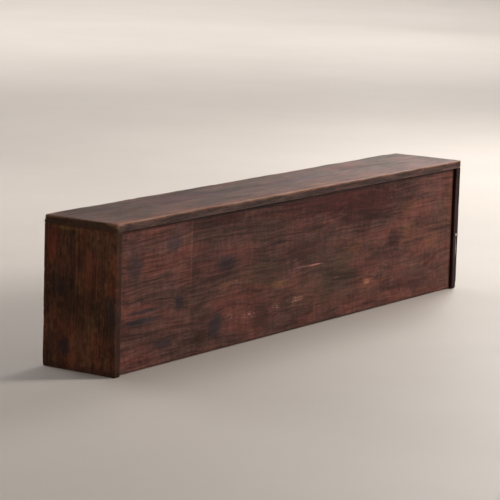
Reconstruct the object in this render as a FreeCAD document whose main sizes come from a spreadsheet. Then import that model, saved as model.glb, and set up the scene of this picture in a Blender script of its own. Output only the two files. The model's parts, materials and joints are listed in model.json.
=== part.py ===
import FreeCAD, Part
import os
import Sketcher
from types import SimpleNamespace

Vector = FreeCAD.Vector
Rotation = FreeCAD.Rotation

# Driving dimensions, in millimetres: the name of each one, its value and what it measures.
# X runs along the sideboard, Y from the closed plank side to the side with the drawers, Z up.
SIZES = [
    ("length", 1820, "whole length"),
    ("depth", 250, "whole depth over the boards"),
    ("height", 420, "whole height"),
    ("top_thick", 24, "thickness of the top board"),
    ("top_corner", 6, "rounding of the top board's corners in plan"),
    ("top_arris", 3, "rounding of the top board's upper edge"),
    ("end_thick", 24, "thickness of an end board"),
    ("foot_round", 8, "rounding of an end board's outer bottom edge"),
    ("dowel_radius", 5, "radius of the dowels under the top board"),
    ("dowel_reach", 18, "how deep a dowel goes into each board"),
    ("dowel_margin", 45, "from a board's long edge to the first dowel"),
    ("dowel_count", 3, "dowels in each end board"),
    ("panel_thick", 12, "thickness of the plank that closes the front"),
    ("panel_set_back", 9, "from the boards' front edges to the plank's face"),
    ("panel_lift", 3, "from the floor to the plank's bottom edge"),
    ("panel_housing", 6, "depth of the groove that holds the plank"),
    ("panel_play", 0.5, "room for the plank at the bottom of its groove"),
    ("base_gap", 12, "from the floor to the bottom board"),
    ("base_thick", 15, "thickness of the bottom board"),
    ("base_housing", 8, "depth of the end boards' housing for the bottom board"),
    ("dado", 5, "depth of the housings for partitions, dividers and shelf"),
    ("partition_thick", 18, "thickness of a partition"),
    ("end_bay", 316, "clear width of the drawer bay at each end"),
    ("lower_bay", 204, "clear height of the lower drawer bay"),
    ("divider_thick", 15, "thickness of the dividers and the shelf"),
    ("foot_width", 30, "width of a batten under the bottom board"),
    ("foot_inset", 20, "from the bottom board's long edges to a batten's ends"),
    ("sill_thick", 12, "thickness of the lower door track"),
    ("sill_groove", 3, "depth of its grooves"),
    ("head_thick", 18, "thickness of the upper door track"),
    ("head_groove", 12, "depth of its grooves"),
    ("track_lip", 4, "track edge in front of a door's face, and behind the inner door"),
    ("door_thick", 16, "thickness of a sliding door"),
    ("door_gap", 2, "room between the two doors"),
    ("door_overlap", 26, "how far the closed doors pass each other"),
    ("door_tongue", 8, "thickness of the tongues that run in the tracks"),
    ("tongue_play", 0.5, "room on each side of a tongue"),
    ("door_rise", 1, "from the lower track to a door's bottom shoulder"),
    ("lift_room", 5, "room above a door for lifting it out"),
    ("batten_width", 45, "width of the upright batten at each end of a door"),
    ("batten_tongue", 6, "thickness of the tongue that joins board and batten"),
    ("batten_reach", 8, "how far that tongue goes into the batten"),
    ("cup_radius", 20, "outer radius of a door's sunk pull"),
    ("cup_wall", 2, "wall of the sunk pull"),
    ("cup_depth", 9, "how deep the pull is sunk"),
    ("cup_floor", 1, "thickness of the pull's floor"),
    ("cup_flange", 5, "width of the pull's flange"),
    ("cup_lip", 1.2, "thickness of the flange on the door's face"),
    ("cup_offset", 35, "from a batten to the pull's centre"),
    ("shelf_gap", 6, "from the shelf's edge to the inner door's track"),
    ("front_thick", 15, "thickness of a drawer front"),
    ("front_arris", 1.5, "rounding round a drawer front's face"),
    ("side_thick", 9, "thickness of a drawer side"),
    ("back_thick", 9, "thickness of a drawer back"),
    ("bottom_thick", 6, "thickness of a drawer bottom"),
    ("bottom_groove", 4, "depth of the groove that holds a drawer bottom"),
    ("bottom_lift", 6, "from the drawer's running edge to its bottom"),
    ("front_lap", 7, "how far a drawer side goes into the front's rebate"),
    ("drawer_play", 1, "room at each side of a drawer and above its front"),
    ("front_rise", 0.5, "room under a drawer front"),
    ("side_drop", 3, "from the bay's ceiling to the top of a drawer side"),
    ("back_drop", 4, "how much lower the drawer back is than the sides"),
    ("back_play", 0.5, "room between a closed drawer and the plank"),
    ("peg_radius", 1.5, "radius of the drawers' wooden pegs"),
    ("peg_reach", 12, "how deep a peg goes into the front or the back"),
    ("peg_margin", 15, "from the edge of the joint to the first peg"),
    ("peg_count", 3, "pegs in each corner of a drawer"),
    ("post_half", 32, "from the middle of a pull to each of its posts"),
    ("post_radius", 3.5, "radius of a post"),
    ("ball_radius", 5, "radius of the ball that holds the bail"),
    ("pull_reach", 9.5, "from the drawer's face to the bail's axis"),
    ("rose_radius", 10, "radius of the rose under a post"),
    ("rose_thick", 1.5, "thickness of the rose"),
    ("shank_radius", 2, "radius of the shank through the drawer front"),
    ("clench_radius", 4, "radius of the shank's clenched end"),
    ("clench_thick", 1, "thickness of the clenched end"),
    ("bail_radius", 2.3, "radius of the bail's rod"),
    ("eye_play", 0.05, "room round the bail's pin in its eye"),
    ("bail_bend", 4, "radius of the bail's bends, on the rod's centre line"),
    ("bail_gap", 0.6, "room between a ball and the bail's bend"),
    ("bail_drop", 28, "from the bail's axis down to its grip"),
    ("pin_tail", 1, "how far a pin stands out of its ball"),
]

doc = FreeCAD.newDocument("sideboard")
sheet = doc.addObject("Spreadsheet::Sheet", "Sizes")
for row, (alias, number, meaning) in enumerate(SIZES, 1):
    sheet.set(f"A{row}", meaning)
    sheet.set(f"B{row}", str(number))
    sheet.setAlias(f"B{row}", alias)
doc.recompute()

# Every size as the words that an expression uses for it
size = SimpleNamespace(**{alias: f"Sizes.{alias}" for alias, _, _ in SIZES})

# Planes across the length, all measured from the middle
half_length = f"({size.length} / 2)"
inside_end = f"({half_length} - {size.end_thick})"
partition_outer = f"({inside_end} - {size.end_bay})"
partition_inner = f"({partition_outer} - {size.partition_thick})"
door_meeting = f"(-{size.door_overlap} / 2)"

# Planes across the depth
front_edge = f"(-{size.depth} / 2)"
rear_edge = f"({size.depth} / 2)"
panel_face = f"({front_edge} + {size.panel_set_back})"
panel_back = f"({panel_face} + {size.panel_thick})"
rear_face = f"({rear_edge} - {size.track_lip})"
outer_track = f"({rear_face} - {size.door_thick} / 2)"
inner_track = f"({outer_track} - {size.door_thick} - {size.door_gap})"
track_edge = f"({inner_track} - {size.door_thick} / 2 - {size.track_lip})"
shelf_edge = f"({track_edge} - {size.shelf_gap})"

# Levels above the floor
under_top = f"({size.height} - {size.top_thick})"
base_top = f"({size.base_gap} + {size.base_thick})"
divider_low = f"({base_top} + {size.lower_bay})"
divider_top = f"({divider_low} + {size.divider_thick})"
sill_top = f"({base_top} + {size.sill_thick})"
sill_floor = f"({sill_top} - {size.sill_groove})"
head_low = f"({under_top} - {size.head_thick})"
head_roof = f"({head_low} + {size.head_groove})"

nodes = {}


def value(expression):
    """The number that an expression of the sheet's sizes comes to."""
    return float(sheet.evalExpression(expression.replace("Sizes.", "")))


def bind(thing, **expressions):
    """Ties properties of a document object to expressions of the sheet's sizes."""
    for name, expression in expressions.items():
        thing.setExpression(name.replace("__", "."), expression)


def across(side, near, far):
    """The two X planes of something that lies from near to far on one side of the middle."""
    if side > 0:
        return near, far
    return f"(-{far})", f"(-{near})"


def both(half):
    """The two planes of something that reaches equally far each way from the middle."""
    return f"(-{half})", half


def about(centre, half):
    """The two planes of something centred on a plane."""
    return f"({centre} - {half})", f"({centre} + {half})"


def spaced(low, high, count):
    """Planes spaced evenly from low to high."""
    return [f"({low} + ({high} - {low}) * {step} / {count - 1})" for step in range(count)]


def edges_in(shape, **planes):
    """Names of the edges that lie in all the planes given, such as x=0 and z=24."""
    found = []
    for number, edge in enumerate(shape.Edges, 1):
        box = edge.BoundBox
        ends = {"x": (box.XMin, box.XMax), "y": (box.YMin, box.YMax), "z": (box.ZMin, box.ZMax)}
        if all(abs(end - plane) < 0.001 for axis, plane in planes.items() for end in ends[axis]):
            found.append(f"Edge{number}")
    return found


class Piece:
    """One piece of the sideboard. Its corner and all its features are given in the
    sideboard's own coordinates, and the body's placement carries the corner."""

    turns = {"x": Rotation(Vector(0, 1, 0), 90), "y": Rotation(Vector(1, 0, 0), -90), "z": Rotation()}

    def __init__(self, label, corner):
        self.corner = corner
        self.body = doc.addObject("PartDesign::Body", label)
        self.body.Label = label
        bind(self.body, Placement__Base__x=corner[0], Placement__Base__y=corner[1],
             Placement__Base__z=corner[2])
        nodes[label] = self.body

    def feature(self, kind, name, at):
        made = self.body.newObject(f"PartDesign::{kind}", f"{self.body.Name}_{name}")
        x, y, z = (f"{place} - {start}" for place, start in zip(at, self.corner))
        bind(made, Placement__Base__x=x, Placement__Base__y=y, Placement__Base__z=z)
        return made

    def box(self, name, x, y, z, kind="AdditiveBox"):
        made = self.feature(kind, name, (x[0], y[0], z[0]))
        bind(made, Length=f"{x[1]} - {x[0]}", Width=f"{y[1]} - {y[0]}", Height=f"{z[1]} - {z[0]}")

    def cut(self, name, x, y, z):
        self.box(name, x, y, z, "SubtractiveBox")

    def rod(self, name, at, axis, radius, reach, kind="AdditiveCylinder"):
        made = self.feature(kind, name, at)
        made.Placement.Rotation = self.turns[axis]
        bind(made, Radius=radius, Height=reach)

    def bore(self, name, at, axis, radius, reach):
        self.rod(name, at, axis, radius, reach, "SubtractiveCylinder")

    def ball(self, name, at, radius):
        bind(self.feature("AdditiveSphere", name, at), Radius=radius)

    def round(self, name, radius, *edge_planes):
        """Rounds the edges in each set of planes, given from the piece's own corner."""
        doc.recompute()
        base = self.body.Tip
        names = [edge for planes in edge_planes for edge in edges_in(base.Shape, **planes)]
        made = self.body.newObject("PartDesign::Fillet", f"{self.body.Name}_{name}")
        made.Base = (base, names)
        bind(made, Radius=radius)


def board(label, x, y, z):
    """A plain board between pairs of planes."""
    piece = Piece(label, (x[0], y[0], z[0]))
    piece.box("blank", x, y, z)
    return piece


def sketch_on(body, role, name):
    """An empty sketch on one of a body's own origin planes."""
    plane = next(item for item in body.Origin.OriginFeatures if item.Role == role)
    sketch = body.newObject("Sketcher::SketchObject", name)
    sketch.AttachmentSupport = [(plane, "")]
    sketch.MapMode = "FlatFace"
    return sketch


def hold(sketch, line, end, x, y):
    """Holds one end of a line at a point that expressions give."""
    for kind, expression in (("DistanceX", x), ("DistanceY", y)):
        number = sketch.addConstraint(Sketcher.Constraint(kind, -1, 1, line, end, value(expression)))
        sketch.setExpression(f"Constraints[{number}]", expression)


# Carcass
carcass_depth = (panel_back, rear_edge)
dowel_rows = spaced(f"({front_edge} + {size.dowel_margin})", f"({rear_edge} - {size.dowel_margin})",
                    int(value(size.dowel_count)))
ends = ((-1, "left"), (1, "right"))


def dowel_centre(side):
    return across(side, f"({half_length} - {size.end_thick} / 2)", "0")[0 if side > 0 else 1]


def make_top_board():
    top = board("top_board", both(half_length), (front_edge, rear_edge), (under_top, size.height))
    groove = both(f"({inside_end} + {size.panel_housing})")
    top.cut("panel_groove", groove, (panel_face, panel_back),
            (under_top, f"({under_top} + {size.panel_housing})"))
    for side, name in ends:
        top.cut(f"partition_dado_{name}", across(side, partition_inner, partition_outer), carcass_depth,
                (under_top, f"({under_top} + {size.dado})"))
        for number, row in enumerate(dowel_rows, 1):
            top.bore(f"dowel_hole_{name}_{number}", (dowel_centre(side), row, under_top), "z",
                     size.dowel_radius, size.dowel_reach)
    long, deep, thick = value(size.length), value(size.depth), value(size.top_thick)
    top.round("corners", size.top_corner, *({"x": x, "y": y} for x in (0, long) for y in (0, deep)))
    top.round("arris", size.top_arris, {"z": thick})


def make_end_board(side, name):
    x = across(side, inside_end, half_length)
    end = board(f"end_board_{name}", x, (front_edge, rear_edge), ("0", under_top))
    end.cut("panel_groove", across(side, inside_end, f"({inside_end} + {size.panel_housing})"),
            (panel_face, panel_back), ("0", under_top))
    end.cut("base_housing", across(side, inside_end, f"({inside_end} + {size.base_housing})"),
            carcass_depth, (size.base_gap, base_top))
    end.cut("divider_dado", across(side, inside_end, f"({inside_end} + {size.dado})"),
            carcass_depth, (divider_low, divider_top))
    for number, row in enumerate(dowel_rows, 1):
        end.bore(f"dowel_hole_{number}", (dowel_centre(side), row, f"({under_top} - {size.dowel_reach})"),
                 "z", size.dowel_radius, size.dowel_reach)
    end.round("foot", size.foot_round, {"x": value(size.end_thick) if side > 0 else 0, "z": 0})


def make_dowels(side, name):
    first = (dowel_centre(side), dowel_rows[0], f"({under_top} - {size.dowel_reach})")
    dowels = Piece(f"top_dowels_{name}", first)
    for number, row in enumerate(dowel_rows, 1):
        dowels.rod(f"dowel_{number}", (first[0], row, first[2]), "z", size.dowel_radius,
                   f"{size.dowel_reach} * 2")


def make_front_panel():
    board("front_panel", both(f"({inside_end} + {size.panel_housing} - {size.panel_play})"),
          (panel_face, panel_back),
          (size.panel_lift, f"({under_top} + {size.panel_housing} - {size.panel_play})"))


def make_bottom_board():
    bottom = board("bottom_board", both(f"({inside_end} + {size.base_housing})"), carcass_depth,
                   (size.base_gap, base_top))
    for side, name in ends:
        bottom.cut(f"partition_dado_{name}", across(side, partition_inner, partition_outer),
                   carcass_depth, (f"({base_top} - {size.dado})", base_top))


def make_partition(side, name):
    partition = board(f"partition_{name}", across(side, partition_inner, partition_outer), carcass_depth,
                      (f"({base_top} - {size.dado})", f"({under_top} + {size.dado})"))
    partition.cut("divider_dado", across(side, f"({partition_outer} - {size.dado})", partition_outer),
                  carcass_depth, (divider_low, divider_top))
    partition.cut("shelf_dado", across(side, partition_inner, f"({partition_inner} + {size.dado})"),
                  (panel_back, shelf_edge), (divider_low, divider_top))


def make_divider(side, name):
    board(f"divider_{name}",
          across(side, f"({partition_outer} - {size.dado})", f"({inside_end} + {size.dado})"),
          carcass_depth, (divider_low, divider_top))


def make_base_batten(side, name):
    middle = f"(({partition_inner} + {partition_outer}) / 2)"
    near, far = about(middle, f"{size.foot_width} / 2")
    board(f"base_batten_{name}", across(side, near, far),
          (f"({panel_back} + {size.foot_inset})", f"({rear_edge} - {size.foot_inset})"),
          ("0", size.base_gap))


def make_middle_shelf():
    board("middle_shelf", both(f"({partition_inner} + {size.dado})"), (panel_back, shelf_edge),
          (divider_low, divider_top))


def make_track(name, thickness, groove):
    track = board(name, both(partition_inner), (track_edge, rear_edge), thickness)
    for place, centre in (("inner", inner_track), ("outer", outer_track)):
        track.cut(f"{place}_groove", both(partition_inner),
                  about(centre, f"({size.door_tongue} / 2 + {size.tongue_play})"), groove)


make_top_board()
make_front_panel()
make_bottom_board()
make_middle_shelf()
for side, name in ends:
    make_end_board(side, name)
    make_dowels(side, name)
    make_partition(side, name)
    make_divider(side, name)
    make_base_batten(side, name)
make_track("door_track_top", (head_low, under_top), (head_low, head_roof))
make_track("door_track_bottom", (base_top, sill_top), (sill_floor, sill_top))

# Sliding doors
shoulder_low = f"({sill_top} + {size.door_rise})"
shoulder_high = f"({head_low} - {size.lift_room})"
tongue_high = f"({head_roof} - {size.lift_room})"


def door_slab(label, x, track):
    """A stretch of a door with the tongues that run in the two tracks."""
    slab = board(label, x, about(track, f"{size.door_thick} / 2"), (shoulder_low, shoulder_high))
    tongue = about(track, f"{size.door_tongue} / 2")
    slab.box("lower_tongue", x, tongue, (sill_floor, shoulder_low))
    slab.box("upper_tongue", x, tongue, (shoulder_high, tongue_high))
    return slab


def make_cup(label, centre):
    """A sunk pull, turned about an axis that points out of the door's face."""
    cup = Piece(label, centre)
    wall_inner = f"{size.cup_radius} - {size.cup_wall}"
    flange = f"{size.cup_radius} + {size.cup_flange}"
    outline = [
        ("0", f"-{size.cup_depth}"),
        (size.cup_radius, f"-{size.cup_depth}"),
        (size.cup_radius, "0"),
        (flange, "0"),
        (flange, size.cup_lip),
        (wall_inner, size.cup_lip),
        (wall_inner, f"{size.cup_floor} - {size.cup_depth}"),
        ("0", f"{size.cup_floor} - {size.cup_depth}"),
    ]
    sketch = sketch_on(cup.body, "XY_Plane", f"{label}_outline")
    corners = [Vector(value(x), value(y), 0) for x, y in outline]
    lines = [sketch.addGeometry(Part.LineSegment(start, end), False)
             for start, end in zip(corners, corners[1:] + corners[:1])]
    for line, following, (x, y) in zip(lines, lines[1:] + lines[:1], outline):
        sketch.addConstraint(Sketcher.Constraint("Coincident", line, 2, following, 1))
        hold(sketch, line, 1, x, y)
    turned = cup.body.newObject("PartDesign::Revolution", f"{label}_turned")
    turned.Profile = sketch
    turned.ReferenceAxis = (sketch, ["V_Axis"])
    turned.Angle = 360


def make_door(side, name, track):
    far_batten = f"({partition_inner} - {size.batten_width})"
    near_batten = f"({door_meeting} + {size.batten_width})"
    joint = about(track, f"{size.batten_tongue} / 2")
    height = (shoulder_low, shoulder_high)
    far_tongue = across(side, far_batten, f"({far_batten} + {size.batten_reach})")
    near_tongue = across(side, f"({near_batten} - {size.batten_reach})", near_batten)

    middle = door_slab(f"door_{name}_board", across(side, near_batten, far_batten), track)
    middle.box("far_tongue", far_tongue, joint, height)
    middle.box("near_tongue", near_tongue, joint, height)
    outer = door_slab(f"door_{name}_batten_outer", across(side, far_batten, partition_inner), track)
    outer.cut("groove", far_tongue, joint, height)
    inner = door_slab(f"door_{name}_batten_inner", across(side, door_meeting, near_batten), track)
    inner.cut("groove", near_tongue, joint, height)

    from_middle = f"({far_batten} - {size.cup_offset})"
    cup_x = from_middle if side > 0 else f"(-{from_middle})"
    face = f"({track} + {size.door_thick} / 2)"
    cup_z = f"(({shoulder_low} + {shoulder_high}) / 2)"
    middle.bore("pull_recess", (cup_x, f"({face} - {size.cup_depth})", cup_z), "y",
                size.cup_radius, size.cup_depth)
    make_cup(f"door_{name}_pull", (cup_x, face, cup_z))


make_door(-1, "left", inner_track)
make_door(1, "right", outer_track)

# Drawers
front_inner = f"({rear_face} - {size.front_thick})"
drawer_rear = f"({panel_back} + {size.back_play})"
peg_rows = int(value(size.peg_count))
bail_half = f"({size.post_half} + {size.ball_radius} + {size.bail_gap} + {size.bail_bend})"
pin_end = f"({size.post_half} - {size.ball_radius} - {size.pin_tail})"


def make_bail(label, axis_point):
    """A drop handle: one rod, with its two ends turned in as the pins it swings on."""
    bail = Piece(label, axis_point)
    stations = [(f"-{pin_end}", "0"), (f"-{bail_half}", "0"), (f"-{bail_half}", f"-{size.bail_drop}"),
                (bail_half, f"-{size.bail_drop}"), (bail_half, "0"), (pin_end, "0")]
    points = [Vector(value(x), value(y), 0) for x, y in stations]
    bend = value(size.bail_bend)
    runs = []
    for number, (start, end) in enumerate(zip(points, points[1:])):
        along = (end - start).normalize() * bend
        runs.append((start + along if number else start,
                     end - along if number < len(points) - 2 else end))

    path = sketch_on(bail.body, "XZ_Plane", f"{label}_path")
    lines = [path.addGeometry(Part.LineSegment(start, end), False) for start, end in runs]
    bends = []
    for before, after, corner in zip(runs, runs[1:], points[1:-1]):
        centre = before[1] + after[0] - corner
        crown = centre + (corner - centre).normalize() * bend
        bends.append(path.addGeometry(Part.Arc(before[1], crown, after[0]), False))
    for arc, before, after in zip(bends, lines, lines[1:]):
        starts_there = (path.Geometry[arc].StartPoint - path.Geometry[before].EndPoint).Length < 0.001
        first = 1 if starts_there else 2
        path.addConstraint(Sketcher.Constraint("Tangent", before, 2, arc, first))
        path.addConstraint(Sketcher.Constraint("Tangent", arc, 3 - first, after, 1))
    for arc in bends[1:]:
        path.addConstraint(Sketcher.Constraint("Equal", bends[0], arc))
    for line, way in zip(lines, ("Horizontal", "Vertical", "Horizontal", "Vertical", "Horizontal")):
        path.addConstraint(Sketcher.Constraint(way, line))
    number = path.addConstraint(Sketcher.Constraint("Radius", bends[0], bend))
    path.setExpression(f"Constraints[{number}]", size.bail_bend)
    hold(path, lines[0], 1, f"-{pin_end}", "0")
    hold(path, lines[-1], 2, pin_end, "0")
    for kind, line, expression in (("DistanceX", lines[1], f"-{bail_half}"),
                                   ("DistanceX", lines[3], bail_half),
                                   ("DistanceY", lines[2], f"-{size.bail_drop}")):
        number = path.addConstraint(Sketcher.Constraint(kind, -1, 1, line, 1, value(expression)))
        path.setExpression(f"Constraints[{number}]", expression)

    section = sketch_on(bail.body, "YZ_Plane", f"{label}_section")
    section.setExpression("AttachmentOffset.Base.z", f"-{pin_end}")
    circle = section.addGeometry(Part.Circle(Vector(), Vector(0, 0, 1), value(size.bail_radius)), False)
    section.addConstraint(Sketcher.Constraint("Coincident", circle, 3, -1, 1))
    number = section.addConstraint(Sketcher.Constraint("Radius", circle, value(size.bail_radius)))
    section.setExpression(f"Constraints[{number}]", size.bail_radius)
    rod = bail.body.newObject("PartDesign::AdditivePipe", f"{label}_rod")
    rod.Profile = section
    rod.Spine = (path, [])


def make_pull_mounts(label, posts, pull_axis, pull_z):
    """Two posts with balls for the bail, each on a rose and clenched behind the front."""
    mounts = Piece(label, (posts[0], rear_face, pull_z))
    clench_start = f"({front_inner} - {size.clench_thick})"
    for number, x in enumerate(posts, 1):
        mounts.rod(f"clench_{number}", (x, clench_start, pull_z), "y", size.clench_radius,
                   size.clench_thick)
        mounts.rod(f"shank_{number}", (x, front_inner, pull_z), "y", size.shank_radius, size.front_thick)
        mounts.rod(f"rose_{number}", (x, rear_face, pull_z), "y", size.rose_radius, size.rose_thick)
        mounts.rod(f"post_{number}", (x, rear_face, pull_z), "y", size.post_radius, size.pull_reach)
        mounts.ball(f"ball_{number}", (x, pull_axis, pull_z), size.ball_radius)
        mounts.bore(f"eye_{number}", (f"({x} - {size.ball_radius})", pull_axis, pull_z), "x",
                    f"({size.bail_radius} + {size.eye_play})", f"{size.ball_radius} * 2")


def make_drawer(side, end, level, floor, ceiling):
    name = f"drawer_{end}_{level}"
    bay = across(side, partition_outer, inside_end)
    low_x = f"({bay[0]} + {size.drawer_play})"
    high_x = f"({bay[1]} - {size.drawer_play})"
    low_inside = f"({low_x} + {size.side_thick})"
    high_inside = f"({high_x} - {size.side_thick})"
    side_top = f"({ceiling} - {size.side_drop})"
    back_top = f"({side_top} - {size.back_drop})"
    lap_end = f"({front_inner} + {size.front_lap})"
    groove_end = f"({front_inner} + {size.bottom_groove})"
    bottom_low = f"({floor} + {size.bottom_lift})"
    bottom_top = f"({bottom_low} + {size.bottom_thick})"
    bottom_level = (bottom_low, bottom_top)
    front_low = f"({floor} + {size.front_rise})"
    pull_x = f"(({bay[0]} + {bay[1]}) / 2)"
    pull_z = f"(({floor} + {ceiling} + {size.bail_drop}) / 2)"
    pull_axis = f"({rear_face} + {size.pull_reach})"
    posts = about(pull_x, size.post_half)
    back_end = f"({drawer_rear} + {size.back_thick})"
    joints = (("front", f"({front_inner} + {size.front_lap} / 2)"),
              ("back", f"({drawer_rear} + {size.back_thick} / 2)"))
    heights = spaced(f"({bottom_top} + {size.peg_margin})", f"({back_top} - {size.peg_margin})", peg_rows)

    front = board(f"{name}_front", (low_x, high_x), (front_inner, rear_face),
                  (front_low, f"({ceiling} - {size.drawer_play})"))
    back = board(f"{name}_back", (low_inside, high_inside), (drawer_rear, back_end),
                 (bottom_top, back_top))
    sides = {"low": board(f"{name}_side_left", (low_x, low_inside), (drawer_rear, lap_end),
                          (floor, side_top)),
             "high": board(f"{name}_side_right", (high_inside, high_x), (drawer_rear, lap_end),
                           (floor, side_top))}
    board(f"{name}_bottom",
          (f"({low_inside} - {size.bottom_groove})", f"({high_inside} + {size.bottom_groove})"),
          (drawer_rear, groove_end), bottom_level)

    front.cut("rebate_low", (low_x, low_inside), (front_inner, lap_end), (front_low, side_top))
    front.cut("rebate_high", (high_inside, high_x), (front_inner, lap_end), (front_low, side_top))
    front.cut("bottom_groove", (low_inside, high_inside), (front_inner, groove_end), bottom_level)
    for number, x in enumerate(posts, 1):
        front.bore(f"shank_hole_{number}", (x, front_inner, pull_z), "y", size.shank_radius,
                   size.front_thick)
    sides["low"].cut("bottom_groove", (f"({low_inside} - {size.bottom_groove})", low_inside),
                     (drawer_rear, groove_end), bottom_level)
    sides["high"].cut("bottom_groove", (high_inside, f"({high_inside} + {size.bottom_groove})"),
                      (drawer_rear, groove_end), bottom_level)

    peg_length = f"({size.side_thick} + {size.peg_reach})"
    starts = {"low": low_x, "high": f"({high_x} - {peg_length})"}
    sunk = {"low": low_inside, "high": f"({high_inside} - {size.peg_reach})"}
    pegs = Piece(f"{name}_pegs", (starts["low"], drawer_rear, heights[0]))
    for end_name, y in joints:
        held = front if end_name == "front" else back
        for number, z in enumerate(heights, 1):
            for hand, walls in (("low", (low_x, low_inside)), ("high", (high_inside, high_x))):
                spot = f"{end_name}_{hand}_{number}"
                pegs.rod(f"peg_{spot}", (starts[hand], y, z), "x", size.peg_radius, peg_length)
                sides[hand].bore(f"peg_hole_{spot}", (walls[0], y, z), "x", size.peg_radius,
                                 size.side_thick)
                held.bore(f"peg_hole_{spot}", (sunk[hand], y, z), "x", size.peg_radius, size.peg_reach)
    front.round("arris", size.front_arris, {"y": value(size.front_thick)})

    make_pull_mounts(f"{name}_pull_mounts", posts, pull_axis, pull_z)
    make_bail(f"{name}_bail", (pull_x, pull_axis, pull_z))


for side, end in ends:
    make_drawer(side, end, "lower", base_top, divider_low)
    make_drawer(side, end, "upper", divider_top, under_top)

# Checks on every object, then one file for each node
doc.recompute()
for thing in doc.Objects:
    if {"Invalid", "Error"} & set(thing.State):
        raise RuntimeError(f"{thing.Label} did not build: {thing.State}")
for label, thing in nodes.items():
    if thing.Shape.isNull() or not thing.Shape.isValid() or not thing.Shape.Solids:
        raise RuntimeError(f"{label} is not a valid solid")

os.makedirs("parts", exist_ok=True)
for label, thing in nodes.items():
    thing.Shape.exportStep(os.path.join("parts", f"{label}.step"))
    print(f"{label}: {len(thing.Shape.Solids)} solids, {thing.Shape.Volume / 1000:.2f} cm3")
print(f"{len(nodes)} nodes")
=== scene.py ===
# %% [markdown]
# # A plank sideboard, nearly two metres long
#
# The real piece is made of old wide planks. One plank lies on top, one stands at each end, and one
# closes the long side that the camera sees. The drawers and the sliding doors are on the other long
# side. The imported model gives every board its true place. This lesson dresses it: first the camera
# and the light, then the finishes, and then the planks whose worn edges a plain box can't show.

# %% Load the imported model
import json
import math
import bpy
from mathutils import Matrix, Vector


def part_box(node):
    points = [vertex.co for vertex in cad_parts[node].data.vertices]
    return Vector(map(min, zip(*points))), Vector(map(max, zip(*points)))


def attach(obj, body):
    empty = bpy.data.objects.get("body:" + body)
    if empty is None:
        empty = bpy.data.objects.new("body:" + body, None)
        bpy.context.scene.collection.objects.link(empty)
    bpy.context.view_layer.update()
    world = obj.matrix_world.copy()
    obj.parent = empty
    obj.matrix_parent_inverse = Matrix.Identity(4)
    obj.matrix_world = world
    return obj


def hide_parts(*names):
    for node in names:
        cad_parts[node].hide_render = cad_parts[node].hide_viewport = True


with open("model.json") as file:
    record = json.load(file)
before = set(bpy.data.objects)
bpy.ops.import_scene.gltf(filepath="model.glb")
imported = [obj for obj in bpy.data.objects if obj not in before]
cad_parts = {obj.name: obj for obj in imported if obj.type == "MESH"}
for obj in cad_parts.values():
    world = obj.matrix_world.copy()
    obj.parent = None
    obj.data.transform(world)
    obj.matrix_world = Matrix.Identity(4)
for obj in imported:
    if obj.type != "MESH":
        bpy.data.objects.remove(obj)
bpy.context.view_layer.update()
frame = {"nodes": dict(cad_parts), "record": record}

from types import SimpleNamespace

import bmesh
import bpy
from mathutils import Euler, Vector, noise

nodes = frame["nodes"]
print("pieces in the model:", len(nodes))

# %% [markdown]
# ## Camera
#
# The photograph was taken from more than seven metres away with a long lens, from the height of a
# standing person. Its place was solved from the corners of the piece, so the values below are the
# solved ones. A long lens keeps the far end of the piece nearly as tall as the near end.

# %% Camera
PHOTO_WIDTH = 500
FOCAL_LENGTH_PX = 2579.9
EYE = Vector((-6.299, -4.2256, 1.5096))
EYE_TURN = Euler([math.radians(angle) for angle in (80.357, -1.685, -55.43)])

scene = bpy.context.scene
camera_data = bpy.data.cameras.new("camera")
camera_data.sensor_width = 36
camera_data.lens = FOCAL_LENGTH_PX / PHOTO_WIDTH * camera_data.sensor_width
camera = bpy.data.objects.new("camera", camera_data)
camera.location = EYE
camera.rotation_euler = EYE_TURN
scene.collection.objects.link(camera)
scene.camera = camera
scene.view_settings.view_transform = "Standard"
print(f"lens {camera_data.lens:.1f} mm, camera {EYE.z:.2f} m above the floor")

# %% [markdown]
# ## Light
#
# The main light stands high to the right of the camera, so the end board on the left stays in its
# own shade. Weak, wide lamps take the place of pale walls on the right, on the left and behind, so
# that no side of the piece goes black. Two very wide lamps hang over the far floor, which would go
# grey behind the piece. Their spread is narrowed, so most of their light stays off the piece. The
# world adds a weak, even light, and the camera never sees a lamp itself.

# %% Lamps
PIECE_MIDDLE = (0.2, 0.0, 0.25)
WARM_WHITE = (1.0, 0.97, 0.94)
NEAR_WHITE = (1.0, 0.985, 0.97)


def lamp(name, place, target, size, power, tint, spread=180):
    """A soft rectangular lamp: size in metres, power in watts, spread in degrees."""
    data = bpy.data.lights.new(name, "AREA")
    data.shape = "RECTANGLE"
    data.size, data.size_y = size
    data.energy = power
    data.color = tint
    data.spread = math.radians(spread)
    aim = Vector(target) - Vector(place)
    made = bpy.data.objects.new(name, data)
    made.location = place
    made.visible_camera = False
    made.rotation_euler = aim.to_track_quat("-Z", "Y").to_euler()
    scene.collection.objects.link(made)
    print(f"{name}: {power} W, {aim.length:.1f} m from its target")


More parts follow.
